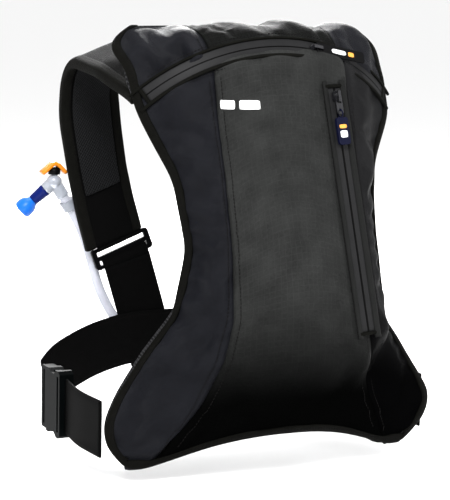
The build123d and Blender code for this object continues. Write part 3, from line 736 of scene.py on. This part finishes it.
def arc_frame(angles):
    """The top zip's middle line with its directions across and outwards, at these angles in degrees."""
    a = np.radians(angles)[:, None]
    radial = np.sin(a) * np.array((1, 0, 0)) + np.cos(a) * ZIP_UP
    across = ZIP_FACE * ZIP_AXIS + ZIP_LEAN * radial
    return ZIP_CENTRE + ZIP_R * radial, across, ZIP_FACE * radial - ZIP_LEAN * ZIP_AXIS


def strip(name, line, across, out, width, height, material, slot, nodes=(), power=4.0):
    """A strip that runs beside a zip, at a distance across it and outwards."""
    centre, side, up = line
    made = swept(name, centre + side * across + up * out, side, up, oval(width, height, power, 14), material)
    return place(made, "pack", slot, *nodes)


# ---- Edge binding: down the left side, along the lower edge and up the right side ----
def smoothed(points, rounds=4):
    """A line with its small bends evened out."""
    points = np.array(points, float)
    for _ in range(rounds):
        points[1:-1] = (points[:-2] + 2 * points[1:-1] + points[2:]) / 4
    return points


TOP_ROW = body.shape[0] - 1
edge_cells = [(i, 0, i, 2) for i in range(TOP_ROW, GUSSET_ROWS, -1)]
edge_cells += [(GUSSET_ROWS, j, GUSSET_ROWS + 2, j) for j in range(0, COLS)]
edge_cells += [(i, COLS - 1, i, COLS - 3) for i in range(GUSSET_ROWS + 1, TOP_ROW + 1)]
edge = np.array([body[i, j] for i, j, _, _ in edge_cells])
inner = np.array([body[i, j] for _, _, i, j in edge_cells])
edge_side = unit(smoothed(unit(edge - inner), 6))
edge_up = np.array([normals[i, j] for _, _, i, j in edge_cells])
edge_up = unit(smoothed(edge_up - edge_side * (edge_up * edge_side).sum(1, keepdims=True), 6))
edge_line = smoothed(edge, 5)
band = edge_line - edge_side * 2.8 + edge_up * 0.4
binding = swept("edge_binding", band, edge_side, edge_up, oval(9.0, 4.0, 3.0), BINDING)
place(binding, "pack", "binding", "left_edge_binding", "right_edge_binding")
binding_rows = [edge_line - edge_side * inward + edge_up * rise for inward, rise in ((5.6, 2.0), (4.0, 2.4))]
stitches("binding_stitches", binding_rows, [edge_up, edge_up])

# ---- Seams: a topstitched row on each side of the two side seams, below the top zip and on the yoke ----
seam_lines, seam_ups = [], []
for column in (LEFT_SEAM - 1, LEFT_SEAM + 1, RIGHT_SEAM - 1, RIGHT_SEAM + 1):
    for rows in (slice(GUSSET_ROWS + 2, ZIP_ROW - 2), slice(ZIP_ROW + 3, TOP_ROW - 6)):
        seam_lines.append(body[rows, column] + normals[rows, column] * 0.5)
        seam_ups.append(normals[rows, column])
stitches("seam_stitches", seam_lines, seam_ups, slot="ripstop")

# ---- Top zip: coated tape, its coil line and the two folded edges ----
arc = arc_frame(np.linspace(-46, 46, 90))
strip("top_tape", arc, 0, 0, 15.6, 1.6, COATED, "zip_tape", nodes=("top_zip_tape",), power=5)
strip("top_coil", arc, 0, 0.62, 1.3, 0.7, COIL, "zip_tape")
long_arc = arc_frame(np.linspace(-50, 50, 96))
strip("top_lip_upper", long_arc, 8.8, 1.0, 2.6, 2.6, BINDING, "binding")
strip("top_lip_lower", long_arc, -9.0, 1.2, 3.2, 3.4, BINDING, "binding")
for end_name, angles in (("left", (-46.8, -46.2, -45.6)), ("right", (45.6, 46.2, 46.8))):
    strip(f"top_zip_end_{end_name}", arc_frame(np.array(angles)), 0, 0.6, 19, 2.4, BINDING, "binding")
row_arc = arc_frame(np.linspace(-43, 43, 84))
row_lines = [row_arc[0] + row_arc[1] * a + row_arc[2] * 1.2 for a in (-12.4, 12.4)]
stitches("top_zip_stitches", row_lines, [row_arc[2], row_arc[2]], slot="zip_tape")

# ---- Side zip ----
def side_run(start, end, count):
    """The side zip's middle line from start to end, as shares of its length, with its directions."""
    line = SIDE_TOP + (SIDE_END - SIDE_TOP) * np.linspace(start, end, count)[:, None]
    return line, np.tile(SIDE_ACROSS, (count, 1)), np.tile(SIDE_OUT, (count, 1))


side_line = side_run(0, 1, 60)
strip("side_tape", side_line, 0, 0, 15.4, 1.6, COATED, "zip_tape", nodes=("side_zip_tape",), power=6)
strip("side_coil", side_line, 0, 0.62, 2.2, 0.8, COIL, "zip_tape")
welt_line = side_run(-0.03, 1.025, 64)
strip("side_welt_left", welt_line, -9.4, 0.2, 5.0, 3.2, WELT, "ripstop", power=2.6)
strip("side_welt_right", welt_line, 10.2, 0.4, 6.6, 3.8, WELT, "ripstop", power=2.6)
SLIDE = unit(SIDE_END - SIDE_TOP)
for name, spot in (("side_zip_end_top", SIDE_TOP - SLIDE * 2), ("side_zip_end_low", SIDE_END + SLIDE)):
    bar = np.array([spot + SIDE_ACROSS * x + SIDE_OUT * 0.8 for x in (-10, -3, 3, 11)])
    place(swept(name, bar, SLIDE, SIDE_OUT, oval(3.4, 2.6), BINDING), "pack", "binding")
side_rows = [welt_line[0] + SIDE_ACROSS * a + SIDE_OUT * h for a, h in ((-12.6, 0.6), (14.6, 0.7))]
stitches("side_zip_stitches", side_rows, [welt_line[2], welt_line[2]], slot="ripstop")


# ---- Shoulder straps ----
STRAP_STEP = 3.5


def rounded(points, radii, step):
    """Points along straight runs joined by tangent arcs, evenly spaced."""
    spots = [np.array(p, float) for p in points]
    out = [spots[0]]
    for before, here, after, radius in zip(spots, spots[1:], spots[2:], radii):
        a, b = unit(before - here), unit(after - here)
        half = math.acos(float(np.clip(a @ b, -1, 1))) / 2
        middle = here + unit(a + b) * radius / math.sin(half)
        first, last = here + a * radius / math.tan(half) - middle, here + b * radius / math.tan(half) - middle
        turn = math.pi - 2 * half
        for t in np.linspace(0, 1, max(3, int(turn * radius / step) + 1)):
            spoke = math.sin((1 - t) * turn) * first + math.sin(t * turn) * last
            out.append(middle + spoke / math.sin(turn))
    out.append(spots[-1])
    line = np.array(out)
    along = length_along(line)
    return at(np.linspace(0, along[-1], int(along[-1] / step) + 1), along, line)


STRAP_OUTER = table((-60, 4, 49, 92, 130, 230), (-96, -114, -124, -132, -136, -136))
STRAP_INNER = table((-60, -4, 25, 53, 92, 130, 230), (-38, -50, -59, -66, -72, -76, -76))
SLOPE = 0.39
STRAP_ROUTE = ((24, 125), (86, 149), (168, 157), (187, 105), (187, -44))  # y and z, at the outer edge
profile = rounded(STRAP_ROUTE, (90, 34, 60), STRAP_STEP)
profile_way = tangents(profile)
profile_up = np.stack([-profile_way[:, 1], profile_way[:, 0]], axis=1)


def strap_edges():
    """The x of the strap's two edges at every station of its path."""
    found = []
    for edge_of, x in ((STRAP_OUTER, -125.0), (STRAP_INNER, -70.0)):
        x = np.full(len(profile), x)
        for _ in range(8):
            x = edge_of(profile[:, 1] + SLOPE * (x + 140))
        found.append(x)
    root = 1 - ease(np.arange(len(profile)) * STRAP_STEP / 70)
    return found[0] + 9 * root, found[1] - 2 * root


STRAP_X = strap_edges()


def strap_point(share, rise):
    """Points along the left strap at a share of its width and a rise from its middle layer."""
    x = STRAP_X[0] + (STRAP_X[1] - STRAP_X[0]) * share
    y = profile[:, 0] + profile_up[:, 0] * rise
    z = profile[:, 1] + SLOPE * (x + 140) + profile_up[:, 1] * rise
    return np.stack([x, y, z], axis=1)


def mirrored(points, flip):
    """The same points, or their mirror image for the right side."""
    return points * np.array((-1, 1, 1)) if flip else points


RING_TILT = math.radians(21.3)
RING_ACROSS = np.array((math.cos(RING_TILT), 0, math.sin(RING_TILT)))
RING_DOWN = np.array((math.sin(RING_TILT), 0, -math.cos(RING_TILT)))
RING_MID = np.array((-67.6, 187.0, -29.6))
# Paths as the distance below the ring's middle and the distance away from the front
TAB_STEPS = ((-17, -2.6), (-9, -2.9), (-7.4, -2.4), (-6.4, 0.6))
WRAP_STEPS = ((1.6, 0.4), (2.4, -2.6), (8, -3.4), (15, -3.6))
WEB_DOWN, WEB_ACROSS = unit(np.array((0.286, 0, -0.958))), unit(np.array((0.958, 0, 0.286)))
WEB_START, WEB_LENGTH, WEB_Y, WEB_BOW = 12.4, 105, 183.4, 0.7
TO_FRONT = np.array((0, -1.0, 0))
LINING_RISE = -5.5  # the level of the lining and of the stitches beside it
LINING_END_Z = 12


def strap_pad(side_name, flip):
    """The strap's body: its cover over the foam, slightly uneven."""
    shares, stations = np.linspace(0, 1, 13), range(len(profile))
    lumps = [[noise.noise(Vector((s * 5, i * 0.11, 7.0 * flip))) for s in shares] for i in stations]
    swell = 5.0 - 2.4 * np.abs(2 * shares - 1) ** 6 + 0.5 * np.array(lumps)
    ring = [strap_point(s, swell[:, k]) for k, s in enumerate(shares)]
    ring += [strap_point(s, -swell[:, k]) for k, s in reversed(list(enumerate(shares)))]
    points = mirrored(np.stack(ring, axis=1), flip)
    faces = tube_faces(*points.shape[:2])
    faces = faces if flip else [face[::-1] for face in faces]
    pad = add_mesh(f"{side_name}_strap_pad", points.reshape(-1, 3), faces, grid_uv(points), STRAP)
    place(pad, "pack", "strap_fabric", f"{side_name}_strap_cover", f"{side_name}_strap_foam")


def strap_lining(side_name, flip):
    """The mesh on the strap's inner side, which stops above the strap's lower end."""
    above = profile[:, 1] > LINING_END_Z
    skin = []
    for share in np.linspace(0.17, 0.83, 11):
        bulge = 1 - (2 * (share - 0.5) / 0.66) ** 4
        skin.append(strap_point(share, LINING_RISE - 0.9 * bulge)[above])
    skin = mirrored(np.stack(skin, axis=1), flip)
    made = cloth_piece(f"{side_name}_strap_mesh_panel", skin, MESH_STRAP, flip=flip, thick=0.8)
    place(made, "pack", "mesh", f"{side_name}_strap_mesh")


def strap_edging(side_name, flip):
    """The strap's bound edges and the stitches beside them."""
    rise = np.stack([np.zeros(len(profile)), profile_up[:, 0], profile_up[:, 1]], axis=1)
    across = mirrored(unit(np.array((1, 0, SLOPE))), flip)
    for edge_name, share in (("outer", 0.075), ("inner", 0.925)):
        name = f"{side_name}_strap_{edge_name}_binding"
        line = mirrored(strap_point(share, 0), flip)
        place(swept(name, line, across, rise, oval(12.0, 10.8, 3.4), BINDING), "pack", "binding")
    rows = [mirrored(strap_point(share, LINING_RISE), flip) for share in (0.125, 0.875)]
    stitches(f"{side_name}_strap_stitches", rows, [mirrored(-rise, flip)] * 2)


def webbing_band(name, line, across, section, flip, *nodes):
    """A flat band of webbing beside a ladder ring."""
    line, across = mirrored(line, flip), mirrored(across, flip)
    place(swept(name, line, across, TO_FRONT, section, WEBBING), "pack", "webbing", *nodes)


def strap_webbing(side_name, flip):
    """The tab above the ladder ring, the webbing below it and the webbing's turn round the bar."""
    tab, wrap = (
        np.array([RING_MID + RING_DOWN * low + (0, out, 0) for low, out in steps])
        for steps in (TAB_STEPS, WRAP_STEPS)
    )
    webbing_band(f"{side_name}_strap_tab", tab, RING_ACROSS, oval(50, 1.6, 8), flip)
    top = RING_MID + RING_DOWN * WEB_START
    t = np.linspace(0, 1, 30)[:, None]
    web = np.array((top[0], WEB_Y, top[2])) + WEB_DOWN * WEB_LENGTH * t + TO_FRONT * WEB_BOW * np.sin(3.1 * t)
    section = oval(50, 1.8, 9, 40)
    webbing_band(f"{side_name}_webbing", web, WEB_ACROSS, section, flip, f"{side_name}_strap_webbing")
    webbing_band(f"{side_name}_webbing_wrap", wrap, RING_ACROSS, oval(50, 1.6, 8), flip)


for side_name, flip in (("left", False), ("right", True)):
    strap_pad(side_name, flip)
    strap_lining(side_name, flip)
    strap_edging(side_name, flip)
    strap_webbing(side_name, flip)


# ---- Waist belt ----
BELT_LONG = (
    *((-166, 139, -158), (-161, 154, -156), (-141, 166, -142), (-104, 175, -127), (-60, 181, -118)),
    *((60, 181, -118), (112, 171, -130), (150, 147, -142), (169, 96, -156), (170, 40, -161), (166, -6, -161)),
)
BELT_SHORT = ((-167, -8, -161), (-170, 40, -161), (-166, 81, -159))


def corner_radii(points):
    """The radius of each bend of a belt, as wide as its shorter run allows."""
    spots = [np.array(p, float) for p in points]
    found = []
    for before, here, after in zip(spots, spots[1:], spots[2:]):
        a, b = here - before, after - here
        turn = math.acos(float(np.clip(unit(a) @ unit(b), -1, 1)))
        found.append(0.45 * min(np.linalg.norm(a), np.linalg.norm(b)) / math.tan(turn / 2))
    return found


for name, route, node in (("belt_far", BELT_LONG, "belt_long"), ("belt_near", BELT_SHORT, "belt_short")):
    line = rounded(route, corner_radii(route), 4.0)
    way_on = tangents(line)
    flat = unit(np.stack([way_on[:, 1], -way_on[:, 0], np.zeros(len(line))], axis=1))
    upright = unit(np.cross(flat, way_on))
    made = swept(name, line, upright, flat, oval(52, 2.4, 9, 44), WEBBING)
    place(made, "pack", "webbing", node)
    rows = [line + upright * high + flat * side * 1.3 for high in (-22, 22) for side in (1, -1)]
    stitches(f"{name}_stitches", rows, [flat * side for _ in (0, 1) for side in (1, -1)], slot="webbing")


# ---- Back: padded mesh panel and lumbar pad ----
def back_row(t):
    """A row of the back panel, from its lower edge (t = 0) to its top (t = 1)."""
    edge_z = BODY_LOW + (BODY_TOP - BODY_LOW) * t
    middle_z = LOWER_MIDDLE + (BODY_TOP - LOWER_MIDDLE) * t
    half = float(HALF(edge_z))
    k = np.linspace(-1, 1, 49)
    x, q = k * half, np.abs(k)
    z = middle_z + (edge_z - middle_z) * bottom_arc(q) * (1 - t)
    x = x + np.sign(x) * shoulder(x, edge_z) * q**2
    y = EDGE(z) + (BACK(z) - EDGE(z)) * (1 - q**2) + 2.0 * (1 - q**8)
    x = x + flare(x, z, half)
    lumbar = np.exp(-((z / 66) ** 6)) * np.exp(-((x / 74) ** 6))
    lobes = np.exp(-(((np.abs(x) - 46) / 30) ** 4)) * ease((t - 0.03) / 0.12) * ease((0.95 - t) / 0.1)
    y = y + (1 - lumbar) * lobes * 2.2 - (1 - lumbar) * 1.4 * np.exp(-((x / 5) ** 2))
    return np.stack([x, y, z], axis=1)


back = np.array([back_row(t) for t in np.linspace(0, 1, 80)])
# The back panel and lumbar pad use the spacer mesh lightened as painted light.
back_piece = cloth_piece("back_panel", back, MESH_BACK_PAINTED_LIGHT, flip=True, thick=2.0)
place(back_piece, "pack", "mesh", "back_panel_foam", "back_mesh")
gx, gz = np.meshgrid(np.linspace(-1, 1, 31), np.linspace(-1, 1, 27))
rim = np.clip(1 - np.abs(gx) ** 7, 0, 1) * np.clip(1 - np.abs(gz) ** 7, 0, 1)
pad_x, pad_z = 60 * gx * (1 - 0.04 * gz**4), 50 * gz * (1 - 0.04 * gx**4)
pad_points = np.stack([pad_x, -7.2 + 7.0 * rim**0.5, pad_z], axis=2)
lumbar = cloth_piece("lumbar_cushion", pad_points, MESH_BACK_PAINTED_LIGHT, flip=True, thick=1.5)
place(lumbar, "pack", "mesh", "lumbar_pad")


# ---- Printed marks: plain bars, not the original's ----
def on_body(x, z, out):
    """The point of the front surface at this x and z, raised by out."""
    flat_points = body[GUSSET_ROWS:].reshape(-1, 3)
    away = np.hypot(flat_points[:, 0] - x, flat_points[:, 2] - z)
    near = np.argsort(away)[:4]
    share = 1 / (away[near] + 0.3)
    share /= share.sum()
    up = unit((normals[GUSSET_ROWS:].reshape(-1, 3)[near] * share[:, None]).sum(0))
    y = (flat_points[near, 1] * share).sum()
    return np.array((x, y, z)) + up * out


def printed(name, points, material, body_name, slot):
    """A printed bar, a thin sheet on a surface."""
    made = cloth_piece(name, points, material, thick=0.3, offset=0.0)
    return place(made, body_name, slot)


MARK_Z, MARK_HEIGHT, MARK_RISE = 124, 8, 0.7
for index, (x0, width) in enumerate(((-62, 11), (-47, 18))):
    across, upward = np.linspace(0, width, 7), np.linspace(0, MARK_HEIGHT, 5)
    cells = [[on_body(x0 + u, MARK_Z + v, MARK_RISE) for u in across] for v in upward]
    printed(f"front_mark_{index}", np.array(cells), WHITE, "pack", "ripstop")


def plate(origin, x_dir, y_dir, out, low, up_to):
    """A flat patch on a puller or tag, from low to up_to in its own x and y."""
    z_dir = np.cross(x_dir, y_dir)
    u, v = np.linspace(low[0], up_to[0], 4), np.linspace(low[1], up_to[1], 3)
    return np.array([[origin + x_dir * a + y_dir * b + z_dir * out for a in u] for b in v])


TAB_FACE, TAG_FACE = 5.95, 6.5  # the height of the printed faces over the middle of the tab and tag
TAB = (
    np.array((34.929, -14.226, 175.786)),
    np.array((0.978148, 0.10048, -0.182019)),
    np.array((0.110791, 0.48891, 0.86527)),
)
printed("tab_mark_white", plate(*TAB, TAB_FACE, (16, -2.2), (32, 2.2)), WHITE, "top_tab", "webbing")
printed("tab_mark_orange", plate(*TAB, TAB_FACE, (34.5, -2.2), (41, 2.2)), AMBER, "top_tab", "webbing")
TAG = (np.array((48.574, -30.757, 134.217)), SLIDE, np.cross(SIDE_OUT, SLIDE))
printed("tag_mark_orange", plate(*TAG, TAG_FACE, (26, -4), (29.5, 4)), AMBER, "side_tag", "tag_rubber")
printed("tag_mark_white", plate(*TAG, TAG_FACE, (31.5, -4), (38, 4)), WHITE, "side_tag", "tag_rubber")

# ---- Hose: one open cord with its valve ----
ROUTE = (
    (103, 42, 162),
    (103, 86, 179),
    (103, 124, 184),
    (102.5, 159, 184.2),
    (102, 185, 169.6),
    (101, 201, 143.5),
    (100, 201.5, 112),
    (98, 201, 78),
    (94, 200, 44),
    (92, 200, -8),
    (82, 199, -68),
    (52, 198, -118),
    (-4, 198, -140),
    (-58, 198, -120),
    (-86, 199, -76),
    (-97, 200, -34),
    (-110, 200, 0),
    (-126, 199, 24),
)
HOSE_D = 0.010
curve = bpy.data.curves.new("drinking_hose", "CURVE")
curve.dimensions = "3D"
spline = curve.splines.new("NURBS")
spline.points.add(len(ROUTE) - 1)
for point, (x, y, z) in zip(spline.points, ROUTE):
    point.co = (x * MM, y * MM, z * MM, 1)
spline.order_u = 3
spline.use_endpoint_u = True
curve.bevel_depth = HOSE_D / 2
curve.bevel_resolution = 6
curve.resolution_u = 16
curve.use_fill_caps = True
curve.materials.append(HOSE)
hose = bpy.data.objects.new("drinking_hose", curve)
scene.collection.objects.link(hose)
place(hose, "pack", "hose_tube", "hose")

# ---- Drinking valve: the lever, stem and mouthpiece in their own shapes ----
ELBOW = np.array((-135.424, 198.411, 38.136))
STEM_WAY = unit(np.array((-0.66, 0.34, -0.67)))
STEM_SIDE = unit(np.cross(STEM_WAY, (0, 0, 1)))
STEM_AXES = (STEM_WAY, STEM_SIDE, np.cross(STEM_SIDE, STEM_WAY))


ROUND = 36  # points round a turned piece


def turned(name, axes, rings, material, flat=1.0):
    """A round piece on the elbow from rings of (distance along, radius), flattened if asked for.

    axes are the directions along the piece and across it, twice.
    """
    way, side, up = axes
    points = []
    for distance, radius in rings:
        for a in np.linspace(0, 2 * math.pi, ROUND, endpoint=False):
            spoke = side * radius * math.cos(a) + up * radius * flat * math.sin(a)
            points.append(ELBOW + way * distance + spoke)
    return add_mesh(name, points, tube_faces(len(rings), ROUND), np.zeros((len(points), 2)), material)


stem_rings = ((11.4, 5.6), (11.8, 6.2), (13, 6.4), (15, 6.0), (25, 5.5), (29, 5.3))
stem = turned("valve_stem_body", STEM_AXES, stem_rings, STEM)
place(stem, "mouthpiece", "dark_blue_plastic", "valve_stem")
bulb_rings = ((27.5, 5.9), (28.5, 6.6), (31, 9.2), (34, 10.8), (38, 11.6), (42, 11.4), (43, 10.4))
bulb = turned("bite_valve_body", STEM_AXES, bulb_rings, BLUE, flat=0.8)
place(bulb, "mouthpiece", "blue_silicone", "bite_valve")
LEVER_ROUTE = ((-13, 9), (-10, 11.2), (-3, 17.2), (0, 18.4), (3, 17.2), (9, 11.2), (11.5, 9))  # x and z
lever_line = np.array([(x, 0, z) for x, z in LEVER_ROUTE], float)
lever_way = tangents(lever_line)
lever_up = np.stack([-lever_way[:, 2], np.zeros(len(lever_way)), lever_way[:, 0]], axis=1)
lever = swept("lever_chevron", ELBOW + lever_line, (0, 1, 0), lever_up, oval(11, 4.2, 4.0), ORANGE)
place(lever, "lever", "orange_plastic", "shutoff_lever")
COLLAR_AXES = tuple(np.array(way) for way in ((0, 0, 1), (1, 0, 0), (0, 1, 0)))
collar = turned("lever_collar", COLLAR_AXES, ((7.4, 5.4), (7.8, 6), (12, 6), (14.5, 4.2)), BLACK)
place(collar, "lever", "black_plastic")

# ---- Floor ----
corners = [(x * FLOOR_REACH, y * FLOOR_REACH, FLOOR_Z) for x, y in ((-1, -1), (1, -1), (1, 1), (-1, 1))]
floor = add_mesh("floor", corners, [(0, 1, 2, 3)], np.zeros((4, 2)), FLOOR)

# ---- CAD pieces that stay: their finish ----
FINISH = {
    "top_zip_slider": METAL,
    "side_zip_slider": METAL,
    "side_zip_puller": METAL,
    "top_zip_tab": RUBBER,
    "side_zip_tag": NAVY,
    "left_ladder_ring": BLACK,
    "right_ladder_ring": BLACK,
    "buckle_female": BUCKLE,
    "buckle_male": BUCKLE,
    "latch_arm_top": BUCKLE,
    "latch_arm_bottom": BUCKLE,
    "hang_loop": WEBBING_CAD,
    "hose_port": RUBBER,
    "hose_keepers": RUBBER,
    "hose_clip": CLEAR,
    "valve_elbow": CLEAR,
    "shutoff_lever": ORANGE,
    "valve_stem": STEM,
    "bite_valve": BLUE,
    "inner_hose": HOSE,
}
for name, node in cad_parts.items():
    node.data.materials.clear()
    node.data.materials.append(FINISH.get(name, STRAP))
